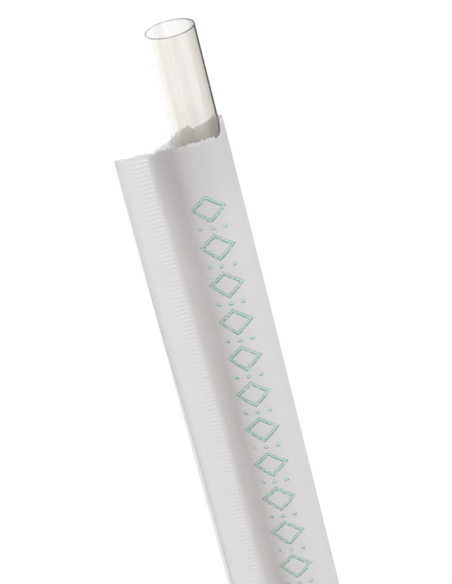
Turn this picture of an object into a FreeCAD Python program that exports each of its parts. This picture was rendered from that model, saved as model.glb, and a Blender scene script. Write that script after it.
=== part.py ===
import FreeCAD, Part
import math
import os
import Sketcher

# A drinking straw in its paper wrapper, torn open at the mouth end.
# The straw lies along X with its mouth at +X. The wrapper is one folded
# strip: its fold is at -Y, its crimped flange at +Y. The whole is rolled
# about X so that the paper under the straw and the flange's edge both touch z = 0.
# Lengths are in millimetres.

SIZES = (
    ("straw_diameter", "6.0", "outside of the straw"),
    ("straw_wall", "0.18", "wall of the straw"),
    ("straw_length", "197.0", "cut length of the straw"),
    ("paper_thickness", "0.07", "one ply of the wrapper"),
    ("paper_clearance", "0.06", "air between the straw and the paper round it"),
    ("fold_slack", "0.48", "how far the folded side stands off the paper over the straw"),
    ("fold_radius", "0.35", "outside bend of the folded side"),
    ("shoulder_ease", "1.85", "extra radius where the paper leaves the straw"),
    ("hollow_radius", "4.6", "inward bend between the straw and the crease"),
    ("crease_gap", "3.25", "from the paper over the straw to the crease"),
    ("flange_width", "3.85", "crimped flange, crease to free edge"),
    ("bare_length", "13.4", "straw standing out of the torn paper, over its crest"),
    ("tear_reach", "1.7", "how much higher the paper is torn at its fold"),
    ("end_slack", "0.5", "empty paper between the straw's end and the taper"),
    ("taper_length", "9.0", "stretch where the sleeve closes flat"),
    ("seal_length", "3.5", "flat end seal"),
    ("end_opening", "0.03", "half the gap between the plies where the seal starts"),
)

# How far the sleeve runs above the tear over its crest before it is torn, in
# tear_reach, and how far past the paper's two sides the torn outlines start, as
# a share of its folded width.
UNTORN_REACHES = 1.5
PAST_EDGE = 0.02

# Values worked out from the sizes. Angles are measured from the flange's plane
# or, for slope and span_turn, from the line that stands square on it.
SHAPE = (
    ("overall_length", "sizes.straw_length + sizes.end_slack + sizes.taper_length"
                       " + sizes.seal_length"),
    ("mouth_at", "overall_length / 2"),
    ("straw_end", "mouth_at - sizes.straw_length"),
    ("sleeve_end", "straw_end - sizes.end_slack"),
    ("taper_end", "sleeve_end - sizes.taper_length"),
    ("seal_end", "taper_end - sizes.seal_length"),
    ("tear_at", "mouth_at - sizes.bare_length"),
    ("sleeve_top", f"tear_at + {UNTORN_REACHES} * sizes.tear_reach"),
    ("pocket_radius", "sizes.straw_diameter / 2 + sizes.paper_clearance"),
    ("cover_radius", "pocket_radius + sizes.paper_thickness"),
    ("fold_reach", "cover_radius + sizes.fold_slack"),
    ("fold_centre", "fold_reach - sizes.fold_radius"),
    ("fold_turn", "acos((cover_radius - sizes.fold_radius) / fold_centre)"),
    ("shoulder_radius", "cover_radius + sizes.shoulder_ease"),
    ("crease_reach", "cover_radius + sizes.crease_gap"),
    ("edge_reach", "crease_reach + sizes.flange_width"),
    ("link", "shoulder_radius + sizes.hollow_radius"),
    ("span_rise", "sizes.paper_thickness + sizes.shoulder_ease"),
    ("span", "sqrt(crease_reach ^ 2 + span_rise ^ 2)"),
    ("span_turn", "atan2(crease_reach; span_rise)"),
    ("slope", "span_turn - acos((link ^ 2 + span ^ 2 - sizes.hollow_radius ^ 2)"
              " / (2 * link * span))"),
    ("hollow_x", "link * sin(slope)"),
    ("hollow_z", "link * cos(slope) - sizes.shoulder_ease"),
    ("hollow_inside", "sizes.hollow_radius + sizes.paper_thickness"),
    ("pinch_reach", "hollow_x - sqrt(hollow_inside ^ 2 - hollow_z ^ 2)"),
    ("crease_slope", "asin((hollow_x - crease_reach) / sizes.hollow_radius)"),
    ("flat_width", "(sizes.fold_radius * fold_turn + cover_radius * (90deg - fold_turn)"
                   " + shoulder_radius * slope"
                   " + sizes.hollow_radius * (slope - crease_slope)) * pi / 180deg"
                   " + fold_centre * sin(fold_turn)"),
    ("flat_reach", "flat_width - crease_reach"),
    ("flat_height", "sizes.paper_thickness + sizes.end_opening"),
    ("roll", "asin(shoulder_radius / sqrt(edge_reach ^ 2 + span_rise ^ 2))"
             " - atan2(span_rise; edge_reach)"),
    ("axis_height", "shoulder_radius - sizes.shoulder_ease * cos(roll)"),
    ("flange_side", "edge_reach * cos(roll) + sizes.paper_thickness * sin(roll)"),
    ("fold_side", "(flat_reach - flat_height) * cos(roll) + flat_height"),
    ("axis_side", "(fold_side - flange_side) / 2"),
)

# Torn outlines, from the fold to the flange's edge: how far across, as a share
# of the folded width, and how far below the tear over the crest, as a share of
# tear_reach.
FRONT_TEAR = (
    (-PAST_EDGE, -0.90), (0.015, -0.90), (0.06, 0.21), (0.17, -0.04), (0.24, -0.10),
    (0.36, 0.06), (0.47, 0.19), (0.57, 0.36), (0.65, 0.72), (0.74, 0.81),
    (0.81, 0.62), (0.87, 0.76), (0.95, 0.54), (1 + PAST_EDGE, 0.60),
)
BACK_TEAR = (
    (-PAST_EDGE, -0.90), (0.015, -0.80), (0.09, -0.49), (0.13, -0.14), (0.175, 0.0),
    (0.245, 0.26), (0.29, 0.28), (0.33, -0.05), (0.39, 0.22), (0.44, 0.22),
    (0.50, 0.46), (0.60, 0.52), (0.68, 0.74), (0.84, 0.60), (1 + PAST_EDGE, 0.65),
)

doc = FreeCAD.newDocument("wrapped_straw")


def fill_sizes():
    """The driving dimensions, one row each: name, number, what it is."""
    sheet = doc.addObject("Spreadsheet::Sheet", "sizes")
    for row, (name, number, note) in enumerate(SIZES, start=1):
        sheet.set(f"A{row}", name)
        sheet.set(f"B{row}", number)
        sheet.set(f"C{row}", note)
        sheet.setAlias(f"B{row}", name)
    doc.recompute()


def fill_shape():
    """The values that follow from the driving dimensions."""
    sheet = doc.addObject("Spreadsheet::Sheet", "shape")
    for row, (name, formula) in enumerate(SHAPE, start=1):
        sheet.set(f"A{row}", name)
        sheet.setAlias(f"B{row}", name)
        sheet.set(f"B{row}", "=" + formula)
        doc.recompute()


def number(owner, expression):
    """The present value of an expression, without its unit."""
    value = owner.evalExpression(expression)
    return float(getattr(value, "Value", value))


def new_body(name):
    body = doc.addObject("PartDesign::Body", name)
    body.Label = name
    return body


def new_sketch(body, name, role, offset):
    """A sketch on one of the body's own origin planes, moved along its normal."""
    sketch = body.newObject("Sketcher::SketchObject", name)
    plane = [item for item in body.Origin.OriginFeatures if item.Role == role][0]
    sketch.AttachmentSupport = (plane, "")
    sketch.MapMode = "FlatFace"
    sketch.setExpression("AttachmentOffset.Base.z", offset)
    return sketch


def bend_middle(start, end, radius, side):
    """The middle of the short arc from start to end; side 1 bulges to the left."""
    chord = end - start
    left = FreeCAD.Vector(-chord.y, chord.x, 0).normalize()
    depth = radius - math.sqrt(radius ** 2 - (chord.Length / 2) ** 2)
    return (start + end) / 2 + left * depth * side


def draw_outline(sketch, corners, bends):
    """A closed outline whose corners and bend radii are bound to the sheets.

    corners are pairs of expressions; bends gives the radius and the side of
    each edge, counted from the corner that it starts at, that is an arc.
    """
    spots = [FreeCAD.Vector(number(sketch, x), number(sketch, y), 0) for x, y in corners]
    starts = []
    ends = []
    for index, start in enumerate(spots):
        end = spots[(index + 1) % len(spots)]
        if index in bends:
            radius, side = bends[index]
            middle = bend_middle(start, end, number(sketch, radius), side)
            edge = sketch.addGeometry(Part.Arc(start, middle, end))
            forward = sketch.getPoint(edge, 1).distanceToPoint(start) < 1e-6
        else:
            edge = sketch.addGeometry(Part.LineSegment(start, end))
            forward = True
        starts.append((edge, 1 if forward else 2))
        ends.append((edge, 2 if forward else 1))
    for index in range(len(spots)):
        sketch.addConstraint(
            Sketcher.Constraint("Coincident", *ends[index - 1], *starts[index]))
    for index, (x, y) in enumerate(corners):
        for kind, size, expression in (("DistanceX", spots[index].x, x),
                                       ("DistanceY", spots[index].y, y)):
            rule = sketch.addConstraint(
                Sketcher.Constraint(kind, -1, 1, *starts[index], size))
            sketch.setExpression(f"Constraints[{rule}]", expression)
    for index, (radius, side) in bends.items():
        rule = sketch.addConstraint(
            Sketcher.Constraint("Radius", starts[index][0], number(sketch, radius)))
        sketch.setExpression(f"Constraints[{rule}]", radius)
    doc.recompute()


def pad(body, name, sketch, length):
    feature = body.newObject("PartDesign::Pad", name)
    feature.Profile = sketch
    feature.setExpression("Length", length)
    doc.recompute()
    return feature


def cut_away(body, name, sketch, depth, downward):
    """A pocket to one side of its sketch; it has to take something off."""
    before = body.Shape.Volume
    feature = body.newObject("PartDesign::Pocket", name)
    feature.Profile = sketch
    feature.Reversed = not downward
    feature.setExpression("Length", depth)
    doc.recompute()
    if body.Shape.Volume > before - 1e-3:
        raise ValueError(name + " cuts nothing")
    return feature


# The ply's profile in the sleeve, above the flange's plane: outside from the
# fold to the flange's edge, then back along the inside.
ROUND_PLY = (
    ("-shape.fold_reach", "0"),
    ("-shape.fold_centre - sizes.fold_radius * cos(shape.fold_turn)",
     "sizes.fold_radius * sin(shape.fold_turn)"),
    ("-shape.cover_radius * cos(shape.fold_turn)",
     "shape.cover_radius * sin(shape.fold_turn)"),
    ("0", "shape.cover_radius"),
    ("shape.shoulder_radius * sin(shape.slope)",
     "shape.shoulder_radius * cos(shape.slope) - sizes.shoulder_ease"),
    ("shape.crease_reach", "sizes.paper_thickness"),
    ("shape.edge_reach", "sizes.paper_thickness"),
    ("shape.edge_reach", "0"),
    ("shape.pinch_reach", "0"),
    ("(shape.shoulder_radius - sizes.paper_thickness) * sin(shape.slope)",
     "(shape.shoulder_radius - sizes.paper_thickness) * cos(shape.slope)"
     " - sizes.shoulder_ease"),
    ("0", "shape.pocket_radius"),
    ("-shape.pocket_radius * cos(shape.fold_turn)",
     "shape.pocket_radius * sin(shape.fold_turn)"),
    ("-shape.fold_centre - (sizes.fold_radius - sizes.paper_thickness)"
     " * cos(shape.fold_turn)",
     "(sizes.fold_radius - sizes.paper_thickness) * sin(shape.fold_turn)"),
    ("-shape.fold_reach + sizes.paper_thickness", "0"),
)
ROUND_BENDS = {
    0: ("sizes.fold_radius", 1),
    2: ("shape.cover_radius", 1),
    3: ("shape.shoulder_radius", 1),
    4: ("sizes.hollow_radius", -1),
    8: ("shape.hollow_inside", 1),
    9: ("shape.shoulder_radius - sizes.paper_thickness", -1),
    10: ("shape.pocket_radius", -1),
    12: ("sizes.fold_radius - sizes.paper_thickness", -1),
}

# The same profile pressed flat, corner for corner, where the end seal starts.
FLAT_STEPS = (0.22, 0.45, 0.75)
FLAT_PLY = (
    ("-shape.flat_reach", "0"),
    ("-shape.flat_reach + shape.flat_height", "shape.flat_height"),
    (f"-shape.flat_reach + {FLAT_STEPS[0]} * shape.flat_width", "shape.flat_height"),
    (f"-shape.flat_reach + {FLAT_STEPS[1]} * shape.flat_width", "shape.flat_height"),
    (f"-shape.flat_reach + {FLAT_STEPS[2]} * shape.flat_width", "shape.flat_height"),
    ("shape.crease_reach", "sizes.paper_thickness"),
    ("shape.edge_reach", "sizes.paper_thickness"),
    ("shape.edge_reach", "0"),
    ("shape.pinch_reach", "0"),
    (f"-shape.flat_reach + {FLAT_STEPS[2]} * shape.flat_width", "sizes.end_opening"),
    (f"-shape.flat_reach + {FLAT_STEPS[1]} * shape.flat_width", "sizes.end_opening"),
    (f"-shape.flat_reach + {FLAT_STEPS[0]} * shape.flat_width", "sizes.end_opening"),
    ("-shape.flat_reach + shape.flat_height", "sizes.end_opening"),
    ("-shape.flat_reach + sizes.paper_thickness", "0"),
)
FLAT_BENDS = {
    0: ("shape.flat_height", 1),
    12: ("sizes.end_opening", -1),
}

# The end seal's own profile: the flat profile with its gap pressed shut.
SEAL_PLY = FLAT_PLY[:8]
SEAL_BENDS = {0: ("shape.flat_height", 1)}


def tear_outline(shares):
    """The paper to be torn away: above the ragged line, past the sleeve's top."""
    across = "(-shape.fold_reach + {} * (shape.fold_reach + shape.edge_reach))"
    along = "(shape.tear_at - {} * sizes.tear_reach)"
    beyond = "shape.sleeve_top + sizes.tear_reach"
    ragged = [(along.format(below), across.format(share)) for share, below in shares]
    first = across.format(shares[0][0])
    last = across.format(shares[-1][0])
    return ragged + [(beyond, last), (beyond, first)]


def build_straw():
    body = new_body("straw")
    sketch = new_sketch(body, "straw_section", "YZ_Plane", "shape.straw_end")
    for radius in ("sizes.straw_diameter / 2",
                   "sizes.straw_diameter / 2 - sizes.straw_wall"):
        circle = Part.Circle(FreeCAD.Vector(0, 0, 0), FreeCAD.Vector(0, 0, 1),
                             number(sketch, radius))
        ring = sketch.addGeometry(circle)
        sketch.addConstraint(Sketcher.Constraint("Coincident", ring, 3, -1, 1))
        rule = sketch.addConstraint(
            Sketcher.Constraint("Radius", ring, number(sketch, radius)))
        sketch.setExpression(f"Constraints[{rule}]", radius)
    doc.recompute()
    pad(body, "straw_tube", sketch, "sizes.straw_length")
    return body


def build_wrapper():
    """Half the folded strip, mirrored on the flange's plane, then torn open."""
    body = new_body("paper_wrapper")
    sleeve = new_sketch(body, "sleeve_section", "YZ_Plane", "shape.sleeve_end")
    draw_outline(sleeve, ROUND_PLY, ROUND_BENDS)
    flat = new_sketch(body, "flat_section", "YZ_Plane", "shape.taper_end")
    draw_outline(flat, FLAT_PLY, FLAT_BENDS)
    seal = new_sketch(body, "seal_section", "YZ_Plane", "shape.seal_end")
    draw_outline(seal, SEAL_PLY, SEAL_BENDS)

    sleeve_pad = pad(body, "sleeve", sleeve, "shape.sleeve_top - shape.sleeve_end")

    taper = body.newObject("PartDesign::AdditiveLoft", "taper")
    taper.Profile = sleeve
    taper.Sections = [(flat, [""])]
    taper.Ruled = True
    doc.recompute()

    seal_pad = pad(body, "end_seal", seal, "sizes.seal_length")

    mirrored = body.newObject("PartDesign::Mirrored", "back_ply")
    mirrored.Originals = [sleeve_pad, taper, seal_pad]
    plane = [item for item in body.Origin.OriginFeatures if item.Role == "XY_Plane"][0]
    mirrored.MirrorPlane = (plane, [""])
    body.Tip = mirrored
    doc.recompute()

    for name, shares, downward in (("front_tear", FRONT_TEAR, False),
                                   ("back_tear", BACK_TEAR, True)):
        sketch = new_sketch(body, name + "_outline", "XY_Plane", "0")
        draw_outline(sketch, tear_outline(shares), {})
        cut_away(body, name, sketch, "2 * shape.cover_radius", downward)
    return body


def lay_down(body):
    """Roll a piece about the straw's axis and set it on z = 0, centred."""
    any_turn = 15  # with no turn at all, the rotation would lose its axis
    body.Placement = FreeCAD.Placement(
        FreeCAD.Vector(0, 0, 0), FreeCAD.Rotation(FreeCAD.Vector(-1, 0, 0), any_turn))
    body.setExpression("Placement.Base.y", "shape.axis_side")
    body.setExpression("Placement.Base.z", "shape.axis_height")
    body.setExpression("Placement.Rotation.Angle", "shape.roll")
    doc.recompute()


def check_and_write(bodies):
    """Every object has to be sound before anything is written."""
    for item in doc.Objects:
        if "Invalid" in item.State or "Error" in item.State:
            raise ValueError(f"{item.Name} failed: {item.State}")
    for body in bodies:
        if body.Shape.isNull() or not body.Shape.isValid():
            raise ValueError(body.Label + " has no sound shape")
    os.makedirs("parts", exist_ok=True)
    for body in bodies:
        body.Shape.exportStep(f"parts/{body.Label}.step")
        box = body.Shape.BoundBox
        print(f"{body.Label}: {len(body.Shape.Solids)} solid, {len(body.Shape.Faces)} faces, "
              f"{body.Shape.Volume:.2f} mm3, "
              f"x {box.XMin:.3f} to {box.XMax:.3f}, "
              f"y {box.YMin:.3f} to {box.YMax:.3f}, "
              f"z {box.ZMin:.3f} to {box.ZMax:.3f}")


fill_sizes()
fill_shape()
pieces = [build_straw(), build_wrapper()]
for piece in pieces:
    lay_down(piece)
check_and_write(pieces)
for cell in ("overall_length", "flat_width", "roll", "slope", "crease_slope", "pinch_reach",
             "crease_reach", "edge_reach", "axis_side", "axis_height"):
    print(cell, doc.getObject("shape").get(cell))
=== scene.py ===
# %% [markdown]
# A wrapped drinking straw. The model of the construction gives two nodes, the
# straw and its paper wrapper, at their real size. This file dresses them: the
# clear plastic of the straw, the thin crimped paper with its torn end, and a
# plain white studio round them.

# %% Load the frame
import math
import bmesh
import bpy
from mathutils import Matrix, Vector, noise


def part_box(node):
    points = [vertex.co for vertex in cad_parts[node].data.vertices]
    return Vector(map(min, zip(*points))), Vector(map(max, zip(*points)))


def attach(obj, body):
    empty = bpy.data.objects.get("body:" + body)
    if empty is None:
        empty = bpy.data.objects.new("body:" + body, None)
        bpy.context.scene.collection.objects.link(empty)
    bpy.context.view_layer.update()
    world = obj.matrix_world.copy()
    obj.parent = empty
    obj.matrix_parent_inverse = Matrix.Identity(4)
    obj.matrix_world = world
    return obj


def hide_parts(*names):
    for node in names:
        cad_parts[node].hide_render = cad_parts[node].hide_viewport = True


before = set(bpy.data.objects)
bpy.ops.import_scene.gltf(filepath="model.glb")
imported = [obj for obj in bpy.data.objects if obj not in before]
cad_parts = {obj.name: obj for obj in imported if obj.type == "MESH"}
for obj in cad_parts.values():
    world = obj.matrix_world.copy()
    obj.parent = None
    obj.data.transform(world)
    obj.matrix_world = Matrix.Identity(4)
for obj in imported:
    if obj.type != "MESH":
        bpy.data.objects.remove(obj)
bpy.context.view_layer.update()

# %% [markdown]
# Everything is measured in millimetres first, because paper and plastic walls
# are fractions of one, and turned into metres when a mesh is finished. The
# straw's box gives its radius, its axis and its mouth, and the wrapper's box
# gives the far end of the paper.

# %% Sizes from the frame
mm = 0.001
straw_low, straw_high = (Vector(corner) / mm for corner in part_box("straw"))
paper_low, paper_high = (Vector(corner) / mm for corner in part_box("paper_wrapper"))
straw_radius = (straw_high.z - straw_low.z) / 2
axis_y = (straw_high.y + straw_low.y) / 2
axis_z = (straw_high.z + straw_low.z) / 2
mouth_x = straw_high.x
straw_end_x = straw_low.x
paper_end_x = paper_low.x
print(f"straw {straw_radius * 2:.2f} mm wide, {mouth_x - straw_end_x:.1f} mm long")

# %% [markdown]
# The photograph looks down at the mouth from a little way off, with a long
# lens. The camera is placed by where it aims, how far off it stands, and the
# two angles of its view. The lean turns the picture so that the straw runs
# from the upper left to the lower right.

# %% Camera
aim_below_mouth = 34.3
aim_beside_axis = 1.29
aim = Vector((mouth_x - aim_below_mouth, axis_y + aim_beside_axis, axis_z)) * mm
view_distance = 294.8 * mm
view_azimuth = math.radians(30.72)
view_elevation = math.radians(59.93)
view_lean = math.radians(14.35)

towards = Vector((math.cos(view_azimuth) * math.cos(view_elevation),
                  math.sin(view_azimuth) * math.cos(view_elevation),
                  math.sin(view_elevation)))
along_straw = Vector((1, 0, 0)) - towards * towards.x
upright = Matrix.Rotation(-view_lean, 3, towards) @ along_straw.normalized()
rightward = upright.cross(towards)

camera_data = bpy.data.cameras.new("camera")
camera = bpy.data.objects.new("camera", camera_data)
bpy.context.scene.collection.objects.link(camera)
camera.matrix_world = (
    Matrix.Translation(aim + towards * view_distance)
    @ Matrix((rightward, upright, towards)).transposed().to_4x4())
camera_data.lens = 149.6
camera_data.sensor_width = 36
camera_data.clip_start = 0.01
bpy.context.scene.camera = camera
print("camera at", tuple(round(value, 4) for value in camera.location))

# %% [markdown]
# The studio is a white room. The world is white to the camera and to gloss and
# glass, so that the straw has white all round it. Matt paper gets a softer,
# dimmer light from it, and would look burnt out in a fully white one.

# %% World
scene = bpy.context.scene
scene.view_settings.view_transform = "Standard"
world = bpy.data.worlds.new("white_room")
scene.world = world
world.use_nodes = True
nodes, links = world.node_tree.nodes, world.node_tree.links
nodes.clear()


def add_seen_directly(nodes, links):
    """One where a camera, gloss or glass ray arrives, zero for soft light."""
    path = nodes.new("ShaderNodeLightPath")
    total = None
    for name in ("Is Glossy Ray", "Is Transmission Ray"):
        join = nodes.new("ShaderNodeMath")
        join.operation = "MAXIMUM"
        links.new(total or path.outputs["Is Camera Ray"], join.inputs[0])
        links.new(path.outputs[name], join.inputs[1])
        total = join.outputs[0]
    return total


soft_light = nodes.new("ShaderNodeBackground")
soft_light.inputs["Color"].default_value = (1.0, 0.99, 0.98, 1)
soft_light.inputs["Strength"].default_value = 0.44
white = nodes.new("ShaderNodeBackground")
white.inputs["Color"].default_value = (1, 1, 1, 1)
mix = nodes.new("ShaderNodeMixShader")
world_out = nodes.new("ShaderNodeOutputWorld")
links.new(add_seen_directly(nodes, links), mix.inputs["Fac"])
links.new(soft_light.outputs[0], mix.inputs[1])
links.new(white.outputs[0], mix.inputs[2])
links.new(mix.outputs[0], world_out.inputs["Surface"])
print("world:", world.name)

# %% [markdown]
# One large round lamp stands above, a little up and to the right of the
# picture, so that the slope of the paper on the left of the straw falls off
# into grey. Its place is given from the camera's own directions. A large lamp
# gives soft shadow edges, as a softbox does.

# %% Lamp
key_distance = 1.5
key_direction = (rightward * 0.36 + upright * 0.32 + towards * 0.87).normalized()
key_data = bpy.data.lights.new("key_lamp", "AREA")
key_data.shape = "DISK"
key_data.size = 2.0
key_data.energy = 20.6
key = bpy.data.objects.new("key_lamp", key_data)
scene.collection.objects.link(key)
key.location = aim + key_direction * key_distance
key.rotation_mode = "QUATERNION"
key.rotation_quaternion = (-key_direction).to_track_quat("-Z", "Y")
print("lamp at", tuple(round(value, 3) for value in key.location))

# %% [markdown]
# The floor is a plain white table top. To the camera it glows a little and
# takes only part of the lamp's light, so that it stays white and still keeps
# the soft shadow under the paper. To everything else it is white board that
# throws light back up.

# %% Floor
floor_mesh = bpy.data.meshes.new("floor")
shape = bmesh.new()
bmesh.ops.create_grid(shape, x_segments=1, y_segments=1, size=3.0)
shape.to_mesh(floor_mesh)
shape.free()
floor = bpy.data.objects.new("floor", floor_mesh)
scene.collection.objects.link(floor)

board = bpy.data.materials.new("white_board")
board.use_nodes = True
nodes, links = board.node_tree.nodes, board.node_tree.links
nodes.clear()
plain = nodes.new("ShaderNodeBsdfDiffuse")
plain.inputs["Color"].default_value = (0.8, 0.8, 0.8, 1)
shaded = nodes.new("ShaderNodeBsdfDiffuse")
shaded.inputs["Color"].default_value = (0.24, 0.24, 0.25, 1)
glow = nodes.new("ShaderNodeEmission")
glow.inputs["Color"].default_value = (1, 1, 1, 1)
glow.inputs["Strength"].default_value = 0.8
both = nodes.new("ShaderNodeAddShader")
mix = nodes.new("ShaderNodeMixShader")
board_out = nodes.new("ShaderNodeOutputMaterial")
links.new(shaded.outputs[0], both.inputs[0])
links.new(glow.outputs[0], both.inputs[1])
links.new(add_seen_directly(nodes, links), mix.inputs["Fac"])
links.new(plain.outputs[0], mix.inputs[1])
links.new(both.outputs[0], mix.inputs[2])
links.new(mix.outputs[0], board_out.inputs["Surface"])
floor_mesh.materials.append(board)
print("floor:", board.name)

# %% [markdown]
# Clear plastic over white shows almost nothing of itself. Photographers lay a
# dark card beside it, out of the picture, so that its edge picks up a line.
# Only gloss and glass see this card.

# %% Dark card beside the straw
card_half_length = 16
card_half_width = 3
card_middle = Vector((mouth_x - 4, axis_y - straw_radius - 5.8, 0.05))
card_mesh = bpy.data.meshes.new("edge_card")
shape = bmesh.new()
bmesh.ops.create_grid(shape, x_segments=1, y_segments=1, size=1)
bmesh.ops.scale(shape, verts=shape.verts,
                vec=(card_half_length * mm, card_half_width * mm, 1))
bmesh.ops.translate(shape, verts=shape.verts, vec=card_middle * mm)
shape.to_mesh(card_mesh)
shape.free()
card = bpy.data.objects.new("edge_card", card_mesh)
scene.collection.objects.link(card)
card.visible_camera = False
card.visible_diffuse = False
card.visible_shadow = False
card_paint = bpy.data.materials.new("dark_card")
card_paint.use_nodes = True
card_paint.node_tree.nodes["Principled BSDF"].inputs["Base Color"].default_value = (
    0.02, 0.02, 0.02, 1)
card_mesh.materials.append(card_paint)
print("card:", 2 * card_half_length, "by", 2 * card_half_width, "mm")

# %% [markdown]
# A finish is a graph of small nodes, and a few helpers keep it readable. Each
# makes one node, feeds it with sockets or plain numbers, and gives back its
# output, so that a line of the script reads like a line of arithmetic.

# %% Helpers for shader nodes


def feed(tree, socket, value):
    """Gives a socket a number, a colour, or a link from another socket."""
    if isinstance(value, (int, float)):
        socket.default_value = value
    elif isinstance(value, tuple):
        socket.default_value = (*value, 1)
    else:
        tree.links.new(value, socket)


def math_node(tree, operation, *values):
    """A Math node; gives back its output."""
    node = tree.nodes.new("ShaderNodeMath")
    node.operation = operation
    for slot, value in enumerate(values):
        feed(tree, node.inputs[slot], value)
    return node.outputs[0]


def combine(tree, first, *others):
    """Masks or tones multiplied together."""
    for other in others:
        first = math_node(tree, "MULTIPLY", first, other)
    return first


def ramp_between(tree, value, low, high, result_low=0.0, result_high=1.0):
    """A smooth step of a value, from result_low to result_high."""
    ramp = tree.nodes.new("ShaderNodeMapRange")
    ramp.interpolation_type = "SMOOTHSTEP"
    for label, number in (("Value", value), ("From Min", low), ("From Max", high),
                          ("To Min", result_low), ("To Max", result_high)):
        feed(tree, ramp.inputs[label], number)
    return ramp.outputs["Result"]


def inside(tree, value, middle, half_width, soft):
    """One where value is within half_width of middle, fading over soft."""
    away = math_node(tree, "ABSOLUTE", math_node(tree, "SUBTRACT", value, middle))
    return ramp_between(tree, away, half_width + soft, half_width - soft)


def blend_colour(tree, kind, amount, first, second):
    """A MixRGB node fed by sockets or colours."""
    node = tree.nodes.new("ShaderNodeMixRGB")
    node.blend_type = kind
    for label, value in (("Fac", amount), ("Color1", first), ("Color2", second)):
        feed(tree, node.inputs[label], value)
    return node.outputs["Color"]


def add_noise(tree, place, scale, detail, roughness=0.5):
    """A noise texture read at a place."""
    node = tree.nodes.new("ShaderNodeTexNoise")
    tree.links.new(place, node.inputs["Vector"])
    for label, value in (("Scale", scale), ("Detail", detail), ("Roughness", roughness)):
        feed(tree, node.inputs[label], value)
    return node.outputs["Fac"]


# %% [markdown]
# Paper and plastic each get their own shader, but they share one effect: slow
# cloudy changes from place to place, which paper has in its thickness and
# drawn plastic in its wall. It is a node group with a scale and an amount.

# %% Cloudiness group


def new_group(name, inputs, outputs):
    """A shader node group with named number, vector or colour sockets."""
    group = bpy.data.node_groups.new(name, "ShaderNodeTree")
    for label, kind, value in inputs:
        socket = group.interface.new_socket(label, in_out="INPUT", socket_type=kind)
        if value is not None:
            socket.default_value = value
    for label, kind in outputs:
        group.interface.new_socket(label, in_out="OUTPUT", socket_type=kind)
    return group, group.nodes.new("NodeGroupInput"), group.nodes.new("NodeGroupOutput")


def place_group(tree, group, place, **values):
    """A group in a material, read at a place, with its numbers."""
    node = tree.nodes.new("ShaderNodeGroup")
    node.node_tree = group
    tree.links.new(place, node.inputs["Vector"])
    for label, value in values.items():
        node.inputs[label].default_value = value
    return node


cloud, cloud_in, cloud_out = new_group(
    "cloudiness",
    [("Vector", "NodeSocketVector", None), ("Scale", "NodeSocketFloat", 500.0),
     ("Amount", "NodeSocketFloat", 0.03)],
    [("Value", "NodeSocketFloat")])
thickness = add_noise(cloud, cloud_in.outputs["Vector"], cloud_in.outputs["Scale"], 5, 0.6)
above_mean = math_node(cloud, "SUBTRACT", thickness, 0.5)
spread = math_node(cloud, "MULTIPLY", above_mean, cloud_in.outputs["Amount"])
cloud.links.new(math_node(cloud, "ADD", spread, 1.0), cloud_out.inputs["Value"])
print("group:", cloud.name, len(cloud.nodes), "nodes")

# %% [markdown]
# The straw is a drawn tube of clear plastic, cut square. Its wall is turned
# from a small closed profile, which gives it a real inside and a real rim, and
# a bevel takes the razor edge off the rim as the cutting knife does. Glass
# needs both walls: a single skin wouldn't bend the light at its edges. The
# inner wall is made a few thousandths of a millimetre uneven, as drawing
# leaves it.

# %% Straw tube
straw_wall = 0.18
straw_sides = 160
straw_lengths = 40
rim_round = 0.035
broad_unevenness = 0.006
fine_unevenness = 0.004

shape = bmesh.new()
corners = [shape.verts.new((x, straw_radius - depth, 0))
           for x, depth in ((straw_end_x, 0), (mouth_x, 0),
                            (mouth_x, straw_wall), (straw_end_x, straw_wall))]
for start, end in zip(corners, corners[1:] + corners[:1]):
    shape.edges.new((start, end))
bmesh.ops.bevel(shape, geom=corners, offset=rim_round, segments=3, profile=0.5,
                affect="VERTICES", material=-1)
bmesh.ops.spin(shape, geom=shape.verts[:] + shape.edges[:], cent=(0, 0, 0),
               axis=(1, 0, 0), angle=2 * math.pi, steps=straw_sides, use_merge=True)
bmesh.ops.remove_doubles(shape, verts=shape.verts, dist=1e-5)
for cut_x in (mouth_x - 2 * rim_round, straw_end_x + 2 * rim_round):
    bmesh.ops.bisect_plane(shape, geom=shape.verts[:] + shape.edges[:] + shape.faces[:],
                           dist=1e-5, plane_co=(cut_x, 0, 0), plane_no=(1, 0, 0))
long_edges = [edge for edge in shape.edges if edge.calc_length() > 100]
bmesh.ops.subdivide_edges(shape, edges=long_edges, cuts=straw_lengths, use_grid_fill=True)
bmesh.ops.recalc_face_normals(shape, faces=shape.faces)
for vert in shape.verts:
    turn = math.atan2(vert.co.z, vert.co.y)
    thin = (broad_unevenness * math.sin(5 * turn + 1.0)
            + fine_unevenness * math.sin(11 * turn + 0.02 * vert.co.x))
    if vert.co.yz.length < straw_radius - straw_wall / 2:
        vert.co.y += thin * math.cos(turn)
        vert.co.z += thin * math.sin(turn)
bmesh.ops.translate(shape, verts=shape.verts, vec=(0, axis_y, axis_z))
bmesh.ops.scale(shape, verts=shape.verts, vec=(mm, mm, mm))
for face in shape.faces:
    face.smooth = True
straw_mesh = bpy.data.meshes.new("straw_tube")
shape.to_mesh(straw_mesh)
shape.free()
straw = bpy.data.objects.new("straw_tube", straw_mesh)
scene.collection.objects.link(straw)
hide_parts("straw")
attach(straw, "root")
print("straw tube:", len(straw_mesh.polygons), "faces")
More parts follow.
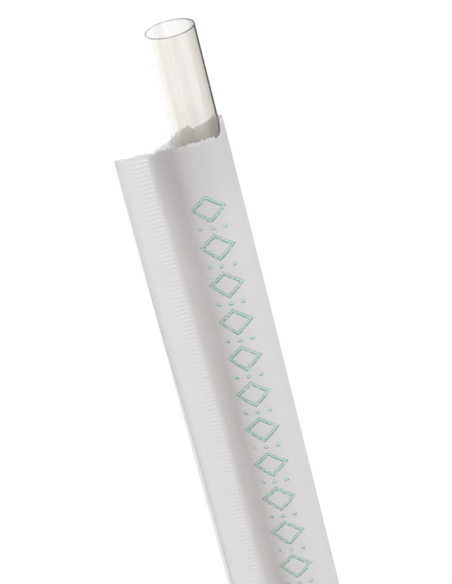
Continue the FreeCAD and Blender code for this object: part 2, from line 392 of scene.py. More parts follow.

# %% [markdown]
# The plastic is clear with a warm cast. Its wall shows long soft bands, a little
# darker or lighter, that run from end to end: painted refraction, standing for
# the way the drawn wall bends the room round it. They are made as a colour ramp
# over the turn round the axis, with its stops in degrees, zero on the right and
# 90 on top when you look at the mouth from the front, and with faint streaks over them.

# %% Clear plastic and the painted refraction bands of its wall
plastic = bpy.data.materials.new("clear_plastic")
plastic.use_nodes = True
tree = plastic.node_tree
nodes, links = tree.nodes, tree.links
shader = nodes["Principled BSDF"]
shader.inputs["Transmission Weight"].default_value = 1.0
shader.inputs["IOR"].default_value = 1.46
shader.inputs["Roughness"].default_value = 0.03

object_place = nodes.new("ShaderNodeTexCoord").outputs["Object"]
round_axis = nodes.new("ShaderNodeMapping")
round_axis.inputs["Location"].default_value = (0, -axis_y * mm, -axis_z * mm)
links.new(object_place, round_axis.inputs["Vector"])
parts = nodes.new("ShaderNodeSeparateXYZ")
links.new(round_axis.outputs[0], parts.inputs[0])
turn = math_node(tree, "ARCTAN2", parts.outputs["Z"], parts.outputs["Y"])
share_of_turn = math_node(tree, "MULTIPLY_ADD", turn, 1 / (2 * math.pi), 0.5)


def tones_round(stops):
    """A colour ramp over the turn round the tube, with its stops in degrees."""
    ramp = nodes.new("ShaderNodeValToRGB")
    links.new(share_of_turn, ramp.inputs["Fac"])
    elements = ramp.color_ramp.elements
    while len(elements) < len(stops):
        elements.new(0.5)
    for stop, (degrees, colour) in zip(elements, stops):
        stop.position = degrees / 360 + 0.5
        stop.color = (*colour, 1)
    return ramp.outputs["Color"]


# Painted refraction: darker and lighter bands round the tube for the room seen through the wall.
painted_refraction_bands = (
    (-180, (0.540, 0.535, 0.515)), (-173, (0.620, 0.610, 0.585)), (-162, (0.740, 0.725, 0.700)),
    (-150, (0.860, 0.850, 0.835)), (-128, (0.885, 0.880, 0.870)), (-109, (0.900, 0.890, 0.875)),
    (-94, (0.905, 0.900, 0.885)), (-88, (0.830, 0.815, 0.790)), (-74, (0.850, 0.840, 0.820)),
    (-62, (0.905, 0.895, 0.880)), (-34, (0.960, 0.955, 0.945)), (-16, (0.880, 0.870, 0.840)),
    (2, (0.970, 0.960, 0.945)), (26, (0.955, 0.940, 0.915)), (40, (0.960, 0.938, 0.895)),
    (52, (0.990, 0.975, 0.950)), (66, (0.880, 0.860, 0.832)), (80, (0.865, 0.843, 0.815)),
    (92, (0.940, 0.918, 0.885)), (104, (0.955, 0.933, 0.900)), (111, (0.835, 0.807, 0.748)),
    (126, (0.840, 0.817, 0.760)), (138, (0.820, 0.800, 0.750)), (147, (0.560, 0.550, 0.525)),
    (163, (0.540, 0.530, 0.510)), (180, (0.540, 0.535, 0.515)),
)
stretch = nodes.new("ShaderNodeMapping")
stretch.inputs["Scale"].default_value = (0.04, 1, 1)
links.new(object_place, stretch.inputs["Vector"])
streaks = place_group(tree, cloud, stretch.outputs[0], Scale=900.0, Amount=0.06)
# The wall's colour is the painted refraction times the streaks.
streaks_and_painted_refraction = blend_colour(tree, "MULTIPLY", 1.0, tones_round(painted_refraction_bands),
                           streaks.outputs["Value"])
print("bands round the wall:", len(painted_refraction_bands))

# %% [markdown]
# The cut rim draws a thin dark line round the mouth of a clear straw, because it
# shows the wall end on. That line is painted here: a second ramp round the tube
# that counts only beside the mouth, with one painted highlight where the rim
# catches the light.

# %% Painted dark line and highlight of the rim
rim_depth = 0.13
# Painted shade round the rim, with one painted highlight near -70 degrees.
painted_rim_tones = ((-180, 0.45), (-150, 0.62), (-100, 0.72), (-76, 0.80), (-71, 1.0), (-66, 1.0),
             (-61, 0.60), (-20, 0.30), (25, 0.45), (70, 0.72), (110, 0.60), (180, 0.45))
painted_rim_line = tones_round([(degrees, (tone, tone, tone)) for degrees, tone in painted_rim_tones])
at_rim = math_node(tree, "GREATER_THAN", parts.outputs["X"], (mouth_x - rim_depth) * mm)
links.new(blend_colour(tree, "MULTIPLY", at_rim, streaks_and_painted_refraction, painted_rim_line),
          shader.inputs["Base Color"])
print("tones round the rim:", len(painted_rim_tones))

# %% [markdown]
# Light that only has to pass through the plastic, on its way to the paper or
# the floor, goes straight on, so that the straw's shadow stays as light as a
# real one's. On the side that faces away from the dark card the real wall
# melts into the white behind it. A full bend of the light would draw a grey
# edge there, so those faces get a second finish that hardly bends it.

# %% Shadow and far side of the plastic
far_side_turn = math.radians(-16.5)
far_side_reach = math.radians(50)
path = nodes.new("ShaderNodeLightPath")
clear = nodes.new("ShaderNodeBsdfTransparent")
clear.inputs["Color"].default_value = (0.975, 0.971, 0.962, 1)
mix = nodes.new("ShaderNodeMixShader")
links.new(path.outputs["Is Shadow Ray"], mix.inputs["Fac"])
links.new(shader.outputs[0], mix.inputs[1])
links.new(clear.outputs[0], mix.inputs[2])
links.new(mix.outputs[0], nodes["Material Output"].inputs["Surface"])

thin_side = plastic.copy()
thin_side.name = "clear_plastic_side"
thin_side.node_tree.nodes["Principled BSDF"].inputs["IOR"].default_value = 1.02
for finish in (plastic, thin_side):
    straw_mesh.materials.append(finish)
for face in straw_mesh.polygons:
    across, up = face.center.y - axis_y * mm, face.center.z - axis_z * mm
    off_side = math.cos(math.atan2(up, across) - far_side_turn)
    face.material_index = 1 if off_side > math.cos(far_side_reach) else 0
print("faces of the far side:", sum(face.material_index for face in straw_mesh.polygons))

# %% [markdown]
# The wrapper is one strip of paper folded over the straw. Its section is a
# path: up from the crease through a hollow, over the straw, and down to the
# fold. Walking along that path by a length tells where any point of the flat
# strip ends up, so the strip can be made flat, cut, and then folded.

# %% Path of the paper's section
ply = 0.055
air = 0.035
ply_gap = 0.008
crease_reach = 6.38
flange_width = 3.85
shoulder_ease = 1.85
crease_slope = math.radians(3)
crease_bend = 1.6
hollow_bend = 4.8
fold_slack = 0.49
fold_radius = 0.315
crease_lift = ply / 2 + ply_gap

tube_bend = straw_radius + air + ply / 2
shoulder_bend = tube_bend + shoulder_ease


def slope_from(turned):
    """The steepest angle if the hollow softens after the crease has turned so far.

    Gives the angle, and by how much the hollow misses the shoulder.
    """
    across = (crease_reach + hollow_bend * math.sin(turned)
              - crease_bend * (math.sin(turned) - math.sin(crease_slope)))
    up = (crease_lift + shoulder_ease + hollow_bend * math.cos(turned)
          + crease_bend * (math.cos(crease_slope) - math.cos(turned)))
    return math.atan2(across, up), math.hypot(across, up) - shoulder_bend - hollow_bend


low_turn, high_turn = crease_slope, math.radians(40)
rises = slope_from(high_turn)[1] > slope_from(low_turn)[1]
for attempt in range(50):
    hollow_slope = (low_turn + high_turn) / 2
    steepest, miss = slope_from(hollow_slope)
    if (miss < 0) == rises:
        low_turn = hollow_slope
    else:
        high_turn = hollow_slope

fold_centre = tube_bend + fold_slack - fold_radius
fold_turn = math.acos((tube_bend - fold_radius) / fold_centre)
section = (
    (crease_bend * (hollow_slope - crease_slope), 1 / crease_bend),
    (hollow_bend * (steepest - hollow_slope), 1 / hollow_bend),
    (shoulder_bend * steepest, -1 / shoulder_bend),
    (tube_bend * (math.pi / 2 - fold_turn), -1 / tube_bend),
    (fold_centre * math.sin(fold_turn), 0.0),
    (fold_radius * fold_turn, -1 / fold_radius),
)
sleeve_width = sum(length for length, bend in section)


def walk(length):
    """Across and up, and the heading, after so much paper from the crease."""
    across, up, heading = crease_reach, crease_lift, crease_slope
    for stretch_length, bend in section:
        step = min(length, stretch_length)
        if bend:
            turned = heading + bend * step
            across -= (math.sin(turned) - math.sin(heading)) / bend
            up += (math.cos(heading) - math.cos(turned)) / bend
            heading = turned
        else:
            across -= step * math.cos(heading)
            up += step * math.sin(heading)
        length -= step
        if length <= 0:
            break
    return across, up, heading


print(f"sleeve {sleeve_width:.2f} mm of paper from crease to fold, slope "
      f"{math.degrees(hollow_slope):.1f} to {math.degrees(steepest):.1f} degrees")

# %% [markdown]
# The paper lies rolled over on the edge of its flange. Torn paper has two
# ragged lines, one on each ply. Each is a short list of how far across the
# folded paper and how far below the mouth it runs; finer teeth come from
# noise.

# %% Roll and torn lines
rest_gap = 0.02
flange_half_thickness = 0.07
edge_reach = crease_reach + flange_width
edge_drop = shoulder_ease + flange_half_thickness
roll = (math.asin((shoulder_bend + ply / 2 + rest_gap) / math.hypot(edge_reach, edge_drop))
        - math.atan2(edge_drop, edge_reach))
flat_across = Vector((0, math.cos(roll), -math.sin(roll)))
flat_up = Vector((0, math.sin(roll), math.cos(roll)))
print(f"roll {math.degrees(roll):.2f} degrees")

front_tear = (
    (-4.2, 11.87), (-3.08, 11.87), (-2.88, 13.4), (-2.6, 13.76), (-1.26, 13.33), (-0.29, 13.23),
    (1.37, 13.5), (2.9, 13.72), (4.28, 14.01), (5.39, 14.62), (6.63, 14.78), (7.6, 14.45),
    (8.43, 14.69), (9.54, 14.32), (10.51, 14.42),
)
back_tear = (
    (-4.2, 11.87), (-3.4, 12.04), (-2.36, 12.57), (-1.81, 13.16), (-1.19, 13.4), (-0.22, 13.84),
    (0.4, 13.88), (0.96, 13.32), (1.79, 13.77), (2.48, 13.77), (3.31, 14.18), (4.69, 14.28),
    (5.8, 14.66), (8.02, 14.42), (10.51, 14.5),
)


def along_list(pairs, place):
    """The value of a list of pairs at a place, straight between its points."""
    for (left, before), (right, after) in zip(pairs, pairs[1:]):
        if place <= right:
            share = (place - left) / (right - left)
            return before + (after - before) * min(max(share, 0), 1)
    return pairs[-1][1]


coarse_tooth = 0.18
middle_tooth = 0.36
fine_tooth = 0.17
tooth_mean = 0.06


def teeth(place, seed):
    """Fine raggedness of the torn edge, in millimetres."""
    coarse = noise.noise(Vector((place * 1.2, seed, 0.3)))
    middle = noise.noise(Vector((place * 2.9, seed + 7, 1.3)))
    fine = noise.noise(Vector((place * 7.5, seed + 3, 4.3)))
    return (coarse_tooth * coarse + middle_tooth * abs(middle) + fine_tooth * fine
            - tooth_mean)


# %% [markdown]
# Along the straw, the paper has four places to know: the tear, the start and
# end of the taper beyond the straw's far end, where the section closes down
# flat, and the end seal. The crimping wheels leave fine cross ridges, here
# called rungs, on the flange, and the end seal has like ridges. They are
# waves along the strip, faded out where the wheels didn't press.

# %% Places along the strip, and pressed ridges
tear_x = mouth_x - 13.6
taper_start_x = straw_end_x - 0.5
taper_end_x = taper_start_x - 9.0
rung_pitch = 0.572
rung_depth = 0.022
rung_bow = 0.10
plain_margin = 1.95
margin_growth = 0.6
tooth_mark = 0.9
seal_length = 3.5
seal_pitch = 0.6
seal_depth = 0.028


def smooth_step(low, high, value):
    """Zero up to low, one from high, and a soft slope between."""
    share = min(max((value - low) / (high - low), 0.0), 1.0)
    return share * share * (3 - 2 * share)


def rungs(place, edge_distance, crease_distance):
    """Height of the crimping's fine cross ridges on the flange."""
    bow = rung_bow * math.sin(math.pi * min(max((edge_distance - 1.2) / 2.5, 0), 1))
    drift = noise.noise(Vector((place * 0.05, 4.0, 0.0)))
    outer_end = (plain_margin + margin_growth * smooth_step(8, 45, tear_x - place)
                 + 0.3 * drift)
    inner = smooth_step(0.02, 0.2, crease_distance)
    outer = smooth_step(outer_end - 0.3, outer_end + 0.7, edge_distance)
    tooth_end = tooth_mark * (1 - smooth_step(0.25, 0.75, crease_distance))
    turn = 2 * math.pi * (place + bow) / rung_pitch
    wave = math.cos(turn) + 0.35 * math.cos(2 * turn)
    strength = 1.1 + 0.55 * noise.noise(Vector((place * 0.6, edge_distance * 0.5, 9.0)))
    return rung_depth * wave * inner * outer * (strength + tooth_end)


def seal_ridges(place):
    """Height of the end seal's cross ridges, pressed through both plies."""
    inside_seal = smooth_step(paper_end_x + seal_length, paper_end_x + seal_length - 0.3, place)
    inside_seal *= smooth_step(paper_end_x + 0.1, paper_end_x + 0.4, place)
    return seal_depth * inside_seal * math.cos(2 * math.pi * (place - paper_end_x) / seal_pitch)


def before_seal(place):
    """One along the strip, falling to zero just before the end seal."""
    return smooth_step(paper_end_x + seal_length + 0.2, paper_end_x + seal_length + 1.2, place)


print(f"tear at {tear_x:.1f}, taper from {taper_start_x:.1f} to {taper_end_x:.1f} mm")

# %% [markdown]
# Paper that stands free of the straw is never quite even. It has slow bulges,
# the crease wanders towards the straw, the front ply's edge creeps back from
# the back ply's, and near the mouth the fold sits closer to the straw. Each is
# half a millimetre at most, and the bulges and the wander come from smooth
# noise.

# %% Slow moves of the paper
slow_bulge = 0.16
quick_bulge = 0.08
crease_creep = 0.38
crease_wander = 0.25
crease_wobble = 0.05
edge_creep = 0.5
snug_fold = 0.1


def bulge(place, length, side):
    """Slow unevenness of the paper where it stands free of the straw."""
    free = smooth_step(0.0, 1.6, length) * (1 - smooth_step(5.2, 7.0, length))
    slow = noise.noise(Vector((place * 0.045, length * 0.18, 3.0 * side)))
    quick = noise.noise(Vector((place * 0.22, length * 0.35, 5.0 + 3.0 * side)))
    return free * (slow_bulge * slow + quick_bulge * quick)


def crease_shift(place):
    """How far the crease wanders towards the straw along the strip."""
    wander = noise.noise(Vector((place * 0.03, 21.0, 0.0)))
    wobble = noise.noise(Vector((place * 0.16, 31.0, 0.0)))
    return (crease_creep * smooth_step(0, 42, tear_x - place)
            + crease_wander * wander + crease_wobble * wobble)


print("crease creeps by", crease_creep, "mm, edge by", edge_creep, "mm")

# %% [markdown]
# Two things happen to the flat strip. Near the tear it is stretched or cut
# back to the ragged line, and everywhere it is folded to the section. One
# function does each, for one point of the strip at a time.

# %% From flat paper to folded paper
lip = 2.6
tail_reach = crease_reach - sleeve_width - 0.04


def fold(place, length, side):
    """Where a point of the flat strip goes.

    place is along the straw; length is from the crease, negative out on the
    flange and positive towards the fold; side is 1 on the front, -1 behind.
    """
    flat = smooth_step(taper_start_x, taper_end_x, place)
    shift = crease_shift(place) * (1 - flat)
    if length < 0:
        edge_distance = flange_width + length
        across, up, heading = crease_reach - length, crease_lift, 0.0
        across -= shift * edge_distance / flange_width
        if side > 0:
            receded = edge_creep * smooth_step(8, 45, tear_x - place) * (1 - flat)
            across -= receded * (1 - smooth_step(0, 1.0, edge_distance))
        up += rungs(place, edge_distance, -length) * before_seal(place)
    else:
        across, up, heading = walk(length)
        across -= shift * (1 - smooth_step(0, 4.5, length))
        near_fold = smooth_step(sleeve_width - 2.2, sleeve_width, length)
        across += snug_fold * near_fold * smooth_step(26, 0, tear_x - place)
        across += (crease_reach - length - across) * flat
        up += (crease_lift - up) * flat
        heading *= 1 - flat
        lift = bulge(place, length, side) * (1 - flat)
        if side < 0:
            lift = min(lift, 0.0)
        across += lift * math.sin(heading)
        up += lift * math.cos(heading)
    up += seal_ridges(place) * side
    return Vector((place, axis_y, axis_z)) + flat_across * across + flat_up * up * side


def torn(place, length, side):
    """Moves the end of the strip to its ragged line."""
    if length < 0:
        across = crease_reach - length
    else:
        across = walk(length)[0]
    line = mouth_x - along_list(front_tear if side > 0 else back_tear, across)
    line += teeth(length + (0 if side > 0 else 20), 2.0)
    share = min(max((place - (tear_x - lip)) / lip, 0.0), 1.0)
    return place + (line - tear_x) * share


print("torn within", lip, "mm of the end of the strip")

# %% [markdown]
# The sheets are grids, laid out flat with one row for every stretch of straw.
# The flange's two plies need several rows for each rung, and the sleeve only a
# few for each bulge, so they are separate grids that meet at the crease. The
# rows by the tear are subdivided once or twice more, so that the torn line can
# be ragged, and those of the sleeve's end seal are cut finer for its ridges.

# %% Sheet builder


def flat_grid(rows, columns, near, far, first, last):
    """A flat grid whose x runs from near to far and whose y runs first to last."""
    sheet = bmesh.new()
    bmesh.ops.create_grid(sheet, x_segments=rows, y_segments=columns, size=0.5)
    bmesh.ops.translate(sheet, verts=sheet.verts, vec=(0.5, 0.5, 0))
    bmesh.ops.scale(sheet, verts=sheet.verts, vec=(far - near, last - first, 1))
    bmesh.ops.translate(sheet, verts=sheet.verts, vec=(near, first, 0))
    return sheet


def refine_near_tear(sheet, depth):
    """Halves the squares within so much of the tear."""
    edges = [edge for edge in sheet.edges
             if min(vert.co.x for vert in edge.verts) > tear_x - depth]
    bmesh.ops.subdivide_edges(sheet, edges=edges, cuts=1, use_grid_fill=True)


def refine_end_seal(sheet, cuts):
    """Cuts the rows of the end seal finer, so that its ridges come out round."""
    edges = [edge for edge in sheet.edges
             if max(vert.co.x for vert in edge.verts) < paper_end_x + seal_length + 0.8
             and abs(edge.verts[0].co.y - edge.verts[1].co.y) < 1e-6]
    bmesh.ops.subdivide_edges(sheet, edges=edges, cuts=cuts, use_grid_fill=True)


def fold_sheet(sheet):
    """Folds a flat grid, keeps its flat place as a map, and gives it a wall.

    Across the flat grid, the front flange is below zero, the sleeve's front
    runs to sleeve_width, its back to twice that, and the back flange beyond.
    Where the fold is pressed flat at the far end, the wall is kept from
    standing out past it.
    """
    flat_map = sheet.loops.layers.uv.new("flat_place")
    for face in sheet.faces:
        face.smooth = True
        for loop in face.loops:
            loop[flat_map].uv = (loop.vert.co.y, loop.vert.co.x)
    for vert in sheet.verts:
        width = vert.co.y
        side = 1 if width <= sleeve_width else -1
        length = width if side > 0 else 2 * sleeve_width - width
        vert.co = fold(torn(vert.co.x, length, side), length, side)
    bmesh.ops.recalc_face_normals(sheet, faces=sheet.faces)
    bmesh.ops.solidify(sheet, geom=sheet.faces[:], thickness=ply)
    bmesh.ops.recalc_face_normals(sheet, faces=sheet.faces)
    for vert in sheet.verts:
        across = (vert.co - Vector((vert.co.x, axis_y, axis_z))).dot(flat_across)
        if across < tail_reach:
            vert.co += flat_across * (tail_reach - across)
    bmesh.ops.scale(sheet, verts=sheet.verts, vec=(mm, mm, mm))
    return sheet


def add_piece(name, sheets):
    """One object made of folded sheets."""
    mesh = bpy.data.meshes.new(name)
    whole = bmesh.new()
    for sheet in sheets:
        part_mesh = bpy.data.meshes.new("part")
        sheet.to_mesh(part_mesh)
        sheet.free()
        whole.from_mesh(part_mesh)
        bpy.data.meshes.remove(part_mesh)
    whole.to_mesh(mesh)
    whole.free()
    mesh.set_sharp_from_angle(angle=math.radians(50))
    piece = bpy.data.objects.new(name, mesh)
    scene.collection.objects.link(piece)
    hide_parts("paper_wrapper")
    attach(piece, "root")
    triangles = sum(len(face.vertices) - 2 for face in mesh.polygons)
    print(name, triangles, "triangles")
    return piece


# %% [markdown]
# The sleeve is the front and the back in one sheet, from crease over the fold
# to crease, so that no seam shows where the paper is bent round the straw.

# %% Sleeve
sleeve_rows = 280
sleeve_columns = 92
sleeve_grid = flat_grid(sleeve_rows, sleeve_columns, paper_end_x, tear_x, 0, 2 * sleeve_width)
refine_near_tear(sleeve_grid, 2.0)
refine_near_tear(sleeve_grid, 0.9)
refine_end_seal(sleeve_grid, 7)
sleeve = add_piece("paper_sleeve", [fold_sheet(sleeve_grid)])

# %% [markdown]
# The flange is crimped: both plies are pressed between toothed wheels, which
# leaves a band of fine cross ridges beside the crease and a plain margin
# outside. The rows follow the ridges, six to each one.

# %% Flange
rows_per_rung = 6
flange_rows = int((tear_x - paper_end_x) / rung_pitch * rows_per_rung)
flange_columns = 9
hair = 1e-4
flange_grids = [
    flat_grid(flange_rows, flange_columns, paper_end_x, tear_x, -flange_width, -hair),
    flat_grid(flange_rows, flange_columns, paper_end_x, tear_x,
              2 * sleeve_width + hair, 2 * sleeve_width + flange_width),
]
for grid in flange_grids:
    refine_near_tear(grid, 1.2)
flange = add_piece("crimped_flange", [fold_sheet(grid) for grid in flange_grids])

# %% [markdown]
# The strip has a print, a chain of outlined diamonds with rows of dots between
# them. It is a node group that reads the flat strip's millimetres and gives
# two masks: the broad pale stroke, and the thin dark line where the ink
# gathered on its lower side, with a fainter line on the other side.

# %% Print group
print_centre = 6.45
print_slant = 0.009
print_start_x = mouth_x - 20.1
print_pitch = 5.1
half_pitch = print_pitch / 2
diamond_half_width = 2.3
diamond_half_height = 1.85
stroke_width = 0.44
line_inset = 0.06
line_half_width = 0.065
faint_line_half_width = 0.05
faint_line_share = 0.6
line_soft = 0.04
dot_radius = 0.3
dot_spacing = 1.55

ornament, ornament_in, ornament_out = new_group(
    "diamond_chain",
    [("Vector", "NodeSocketVector", None)],
    [("Stroke", "NodeSocketFloat"), ("Line", "NodeSocketFloat")])
split = ornament.nodes.new("ShaderNodeSeparateXYZ")
ornament.links.new(ornament_in.outputs["Vector"], split.inputs[0])
down = math_node(ornament, "SUBTRACT", print_start_x, split.outputs["Y"])
centre_line = math_node(ornament, "MULTIPLY_ADD", down, -print_slant, print_centre)
wobble = add_noise(ornament, ornament_in.outputs["Vector"], 1.6, 3)
shaky = math_node(ornament, "MULTIPLY_ADD", wobble, 0.14, -0.07)
side_way = math_node(ornament, "SUBTRACT", split.outputs["X"], centre_line)
side_way = math_node(ornament, "ADD", side_way, shaky)


def repeat_centred(offset):
    """Distance below the nearest centre of a chain that starts at offset."""
    moved = math_node(ornament, "ADD", down, half_pitch - offset)
    wrapped = math_node(ornament, "FLOORED_MODULO", moved, print_pitch)
    return math_node(ornament, "SUBTRACT", wrapped, half_pitch)


print("first diamond", round(mouth_x - print_start_x, 1), "mm below the mouth")

# %% [markdown]
# A diamond is where the share of its half width and the share of its half
# height add up to one. What is over or under one, made back into millimetres,
# is the distance from that outline, and a stroke is a narrow range of it.

# %% Diamonds
below = repeat_centred(diamond_half_height)
across_share = math_node(ornament, "DIVIDE", math_node(ornament, "ABSOLUTE", side_way),
                         diamond_half_width)
along_share = math_node(ornament, "DIVIDE", math_node(ornament, "ABSOLUTE", below),
                        diamond_half_height)
outward = math_node(ornament, "ADD", across_share, along_share)
outward = math_node(ornament, "SUBTRACT", outward, 1.0)
outward = math_node(ornament, "MULTIPLY", outward, 1 / math.hypot(
    1 / diamond_half_width, 1 / diamond_half_height))
diamond_stroke = inside(ornament, outward, -stroke_width / 2, stroke_width / 2, 0.05)
lower_half = math_node(ornament, "GREATER_THAN", below, 0.0)
line_place = math_node(ornament, "MULTIPLY_ADD", lower_half, stroke_width - 2 * line_inset,
                       line_inset - stroke_width)
dark_line = inside(ornament, math_node(ornament, "SUBTRACT", outward, line_place), 0.0,
                   line_half_width, line_soft)
faint_place = math_node(ornament, "SUBTRACT", -stroke_width, line_place)
faint_line = inside(ornament, math_node(ornament, "SUBTRACT", outward, faint_place), 0.0,
                    faint_line_half_width, line_soft)
diamond_line = math_node(ornament, "MAXIMUM", dark_line,
                         combine(ornament, faint_line, faint_line_share))
print("diamond", 2 * diamond_half_width, "by", 2 * diamond_half_height, "mm")

# %% [markdown]
# Between two diamonds stands a row of three dots. The distance from the
# nearest dot is the root of two squares, one along the chain and one across
# it. The dark line shows only below the middle of a dot.

# %% Dots
dot_below = repeat_centred(diamond_half_height + half_pitch)
dot_side = math_node(ornament, "ADD", side_way, dot_spacing / 2 * 3)
dot_side = math_node(ornament, "FLOORED_MODULO", dot_side, dot_spacing)
dot_side = math_node(ornament, "SUBTRACT", dot_side, dot_spacing / 2)
squares = math_node(ornament, "MULTIPLY", dot_side, dot_side)
squares = math_node(ornament, "MULTIPLY_ADD", dot_below, dot_below, squares)
from_dot = math_node(ornament, "SQRT", squares)
in_row = inside(ornament, side_way, 0.0, dot_spacing * 1.5, 0.02)
dots = combine(ornament, inside(ornament, from_dot, 0.0, dot_radius, 0.05), in_row)
under_dot = inside(ornament, from_dot, dot_radius - 0.05, 0.055, line_soft)
under_dot = combine(ornament, under_dot, in_row,
                    math_node(ornament, "GREATER_THAN", dot_below, 0.05))
print("dots", 2 * dot_radius, "mm wide")

# %% [markdown]
# Such a print comes in runs with bare paper between them, and it stops before
# the taper. The runs end between two motifs, so that none is cut.

# %% Runs of the print
motifs_in_run = 13
bare_pitches = 3
run_length = motifs_in_run * print_pitch
bare_gap = bare_pitches * print_pitch
last_row = 4 * dot_radius
in_run = math_node(ornament, "FLOORED_MODULO", down, run_length + bare_gap)
in_run = math_node(ornament, "LESS_THAN", in_run, run_length - last_row)
started = math_node(ornament, "GREATER_THAN", down, 0.0)
whole_pitches = math.floor((print_start_x - taper_start_x) / print_pitch)
ended = math_node(ornament, "LESS_THAN", down, whole_pitches * print_pitch - last_row)
printed = combine(ornament, in_run, started, ended)
for figure, dotted, output in ((diamond_stroke, dots, "Stroke"),
                               (diamond_line, under_dot, "Line")):
    either = math_node(ornament, "MAXIMUM", figure, dotted)
    ornament.links.new(combine(ornament, either, printed), ornament_out.inputs[output])
print("print runs over", whole_pitches, "pitches")

# %% [markdown]
# The paper is thin, white and uncoated. The flange is painted lighter, for the
# light that comes through its two plies from the white below, and the sleeve,
# which hides the straw, is painted greyer as shade. Every tone is a mask over
# the flat strip, made from two distances: how far a point is from the fold, and
# how far it is below the tear.

# %% Paper and its distances
paper = bpy.data.materials.new("wrapper_paper")
paper.use_nodes = True
tree = paper.node_tree
nodes, links = tree.nodes, tree.links
shader = nodes["Principled BSDF"]
shader.inputs["Roughness"].default_value = 0.8
shader.inputs["Specular IOR Level"].default_value = 0.25
shader.inputs["Subsurface Weight"].default_value = 0.5
shader.inputs["Subsurface Radius"].default_value = (1.0, 0.95, 0.9)
shader.inputs["Subsurface Scale"].default_value = 0.08 * mm

flat_map = nodes.new("ShaderNodeUVMap")
flat_map.uv_map = "flat_place"
flat_place = flat_map.outputs["UV"]
split = nodes.new("ShaderNodeSeparateXYZ")
links.new(flat_place, split.inputs[0])
strip_across, strip_along = split.outputs["X"], split.outputs["Y"]
from_fold = math_node(tree, "ABSOLUTE", math_node(tree, "SUBTRACT", strip_across, sleeve_width))
below_tear = math_node(tree, "SUBTRACT", tear_x, strip_along)
print("fold at", round(sleeve_width, 2), "mm across the flat strip")

# %% [markdown]
# The tones are small: a darker cut edge, painted shade on the sleeve by the
# mouth and beside the fold, a painted highlight on the shoulder over the hollow,
# and painted warm shade on the slope that opens out further down. The back ply's
# bare edge gets painted light, since light comes through one ply only. Slow
# clouds and fine fibre stand for the uneven thickness.

# %% Tones of the paper, with painted light and shade
# Painted light and shade: one white paper, painted lighter on the flange and greyer on the
# sleeve.
sleeve_painted_shade_colour = (0.748, 0.732, 0.741)
flange_painted_light_colour = (0.858, 0.842, 0.851)
# Painted warm shade on the slope beside the straw, darker by the mouth.
slope_shade_by_mouth = (0.955, 0.930, 0.918)
slope_shade_further_down = (1.0, 0.975, 0.945)
slope_from_fold = 9.7
shoulder_from_fold = 6.6
on_flange = ramp_between(tree, from_fold, sleeve_width - 0.9, sleeve_width + 0.1)
body_painted_light_and_shade = blend_colour(tree, "MIX", on_flange, sleeve_painted_shade_colour, flange_painted_light_colour)
edge_tone = ramp_between(tree, from_fold, sleeve_width + flange_width - 1.1,
                         sleeve_width + flange_width, 1.0, 0.91)
# Painted light on the back ply's bare edge beyond the front ply.
painted_light_behind_edge = ramp_between(tree, strip_across, 2 * sleeve_width + flange_width - 1.0,
                           2 * sleeve_width + flange_width - 0.5, 1.0, 1.25)
# Painted shade: the sleeve is darker over the last 14 mm below the tear.
painted_shade_by_mouth = ramp_between(tree, below_tear, 0.0, 14.0, 0.89, 1.0)
painted_shade_by_mouth = math_node(tree, "MAXIMUM", painted_shade_by_mouth, on_flange)
# Painted shade: darker within a few millimetres of the fold.
painted_shade_by_fold = ramp_between(tree, from_fold, 1.5, 5.2, 0.955, 1.0)
# Painted highlight on the shoulder over the hollow.
shoulder_highlight_mask = inside(tree, from_fold, shoulder_from_fold, 1.25, 0.95)
painted_shoulder_highlight = math_node(tree, "MULTIPLY_ADD", shoulder_highlight_mask, 0.06, 1.0)
clouds = place_group(tree, cloud, flat_place, Scale=0.55, Amount=0.05)
fibres = place_group(tree, cloud, flat_place, Scale=4.5, Amount=0.035)
tone = combine(tree, edge_tone, painted_light_behind_edge, painted_shade_by_mouth, painted_shade_by_fold, painted_shoulder_highlight,
               clouds.outputs["Value"], fibres.outputs["Value"])
toned = blend_colour(tree, "MULTIPLY", 1.0, body_painted_light_and_shade, tone)
# Painted warm shade over the slope.
painted_slope_shade = blend_colour(tree, "MIX", ramp_between(tree, below_tear, 4.0, 22.0),
                          slope_shade_by_mouth, slope_shade_further_down)
slope_shade_mask = inside(tree, from_fold, slope_from_fold, 1.6, 1.0)
toned = blend_colour(tree, "MULTIPLY", slope_shade_mask, toned, painted_slope_shade)
print("paper tones:", len(nodes), "nodes")

# %% [markdown]
# Torn paper splits into layers, so a whiter, softer strip of uneven depth runs
# along the tear. Inside the mouth the paper is seen from within, lit by what
# comes through it. That side is found where the surface faces the straw's
# axis; its light and shade are painted, lighter over the straw and by the
# flange and darker beside the straw, with a very faint painted glow.

# %% Split layer and the painted light of the inner side
tear_noise = add_noise(tree, flat_place, 1.5, 6, 0.7)
strip_depth = math_node(tree, "MULTIPLY_ADD", tear_noise, 2.6, -1.05)
depth_left = math_node(tree, "SUBTRACT", strip_depth, below_tear)
split_layer = ramp_between(tree, depth_left, -0.03, 0.08)
whitened = blend_colour(tree, "MIX", combine(tree, split_layer, 0.4), toned,
                        (0.86, 0.86, 0.86))

lit_depth = 30.0
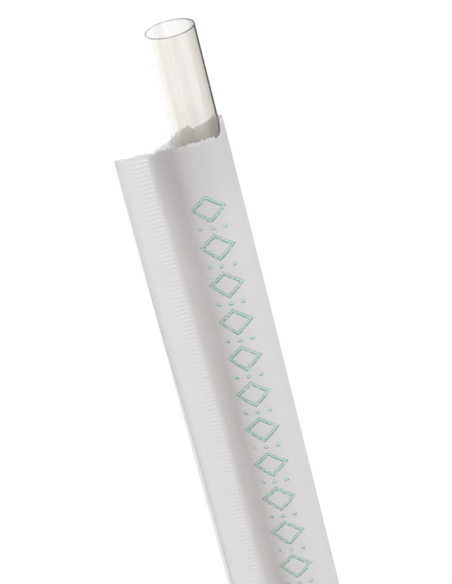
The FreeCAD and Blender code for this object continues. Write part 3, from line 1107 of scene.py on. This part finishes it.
# Painted light and shade of the paper seen from within, and its painted glow.
inner_painted_glow = 0.055
inner_painted_light_over_straw = (0.95, 0.93, 0.925)
inner_painted_shade_beside_straw = (0.645, 0.635, 0.63)
inner_painted_light_by_flange = (0.83, 0.845, 0.87)
surface = nodes.new("ShaderNodeNewGeometry")
object_place = nodes.new("ShaderNodeTexCoord").outputs["Object"]
from_axis = nodes.new("ShaderNodeVectorMath")
from_axis.operation = "SUBTRACT"
from_axis.inputs[1].default_value = (0, axis_y * mm, axis_z * mm)
links.new(object_place, from_axis.inputs[0])
outwardness = nodes.new("ShaderNodeVectorMath")
outwardness.operation = "DOT_PRODUCT"
links.new(from_axis.outputs["Vector"], outwardness.inputs[0])
links.new(surface.outputs["Normal"], outwardness.inputs[1])
faces_axis = math_node(tree, "LESS_THAN", outwardness.outputs["Value"], -0.2 * mm)
on_sleeve = math_node(tree, "SUBTRACT", 1.0, on_flange)
inner_side = combine(tree, faces_axis, on_sleeve,
                     math_node(tree, "LESS_THAN", below_tear, lit_depth))
inner_painted_light_colour = blend_colour(tree, "MIX", ramp_between(tree, from_fold, 4.6, 5.6),
                             inner_painted_light_over_straw, inner_painted_shade_beside_straw)
inner_painted_light_colour = blend_colour(tree, "MIX", ramp_between(tree, from_fold, 8.2, 9.4),
                             inner_painted_light_colour, inner_painted_light_by_flange)
with_painted_inner_light = blend_colour(tree, "MIX", inner_side, whitened, inner_painted_light_colour)
print("inner side to", lit_depth, "mm below the tear")

# %% [markdown]
# The ink is mottled where the fibres left it thin, and its dark lines break
# up. The print's two masks are thinned by noise and coloured one after the
# other.

# %% Ink
pale_ink = (0.48, 0.70, 0.62)
dark_ink = (0.10, 0.34, 0.28)
ornament_here = place_group(tree, ornament, flat_place)
mottle = add_noise(tree, flat_place, 7.5, 4, 0.65)
ink_cover = ramp_between(tree, mottle, 0.3, 0.66, 0.95, 0.32)
stroke = combine(tree, ornament_here.outputs["Stroke"], ink_cover)
line_breaks = add_noise(tree, flat_place, 2.1, 5)
line_cover = ramp_between(tree, line_breaks, 0.40, 0.53, 0.15, 0.95)
line = combine(tree, ornament_here.outputs["Line"], line_cover)
inked = blend_colour(tree, "MIX", stroke, with_painted_inner_light, pale_ink)
inked = blend_colour(tree, "MIX", line, inked, dark_ink)
# Painted glow: the inner side near the tear emits a little light, though it is no lamp.
links.new(blend_colour(tree, "MULTIPLY", 1.0, inked, inner_side), shader.inputs["Emission Color"])
shader.inputs["Emission Strength"].default_value = inner_painted_glow
print("inks:", pale_ink, dark_ink)

# %% [markdown]
# The last fibres of a torn edge are too few to hide what is behind them. The
# paper thins out there by an uneven fifth of a millimetre at most. The back
# of its faces is left out beside the tear, where it would show as a dark
# outline.

# %% Frayed edge
fray_depth = 0.2
least_fibres = 0.55
solid_depth = 0.8
uneven = math_node(tree, "MULTIPLY_ADD", tear_noise, -0.9, 0.45)
frayed = ramp_between(tree, uneven, -0.12, 0.12, 0.0, fray_depth)
fray_share = math_node(tree, "DIVIDE", below_tear, math_node(tree, "ADD", frayed, 0.02))
fibres_left = ramp_between(tree, fray_share, 0.0, 1.0, least_fibres, 1.0)
beside_tear = math_node(tree, "LESS_THAN", below_tear, solid_depth)
seen_from_behind = combine(tree, surface.outputs["Backfacing"], beside_tear)
links.new(combine(tree, fibres_left, math_node(tree, "SUBTRACT", 1.0, seen_from_behind)),
          shader.inputs["Alpha"])
print("frayed to", fray_depth, "mm")

# %% [markdown]
# Paper is felted fibre, so its surface is never flat. The bump adds two
# heights of a few thousandths of a millimetre: fibre grain, and the laid lines
# that the paper mill's wire leaves. The laid lines sway, fade in and out, and
# are also a trace lighter and darker, since the paper is thinner along them.

# %% Paper relief
laid_pitch = 0.39
laid_sway = 26.0
laid_contrast = 0.022
laid_height = 0.004
grain_share = 3.0
turns = math_node(tree, "MULTIPLY", strip_along, 2 * math.pi / laid_pitch)
sway = add_noise(tree, flat_place, 0.33, 2)
turns = math_node(tree, "MULTIPLY_ADD", sway, laid_sway, turns)
laid_strength = place_group(tree, cloud, flat_place, Scale=0.7, Amount=3.0)
over_top = ramp_between(tree, from_fold, 2.5, 8.0, 0.4, 1.35)
laid = combine(tree, math_node(tree, "SINE", turns), laid_strength.outputs["Value"],
               on_sleeve, over_top)
laid_tone = math_node(tree, "MULTIPLY_ADD", laid, laid_contrast, 1.0)
links.new(blend_colour(tree, "MULTIPLY", 1.0, inked, laid_tone), shader.inputs["Base Color"])
grain = add_noise(tree, flat_place, 5, 6, 0.7)
relief = nodes.new("ShaderNodeBump")
relief.inputs["Strength"].default_value = 1.0
relief.inputs["Distance"].default_value = laid_height * mm
links.new(math_node(tree, "MULTIPLY_ADD", grain, grain_share, laid), relief.inputs["Height"])
links.new(relief.outputs["Normal"], shader.inputs["Normal"])
for piece in (sleeve, flange):
    piece.data.materials.append(paper)
print("paper:", len(nodes), "nodes")
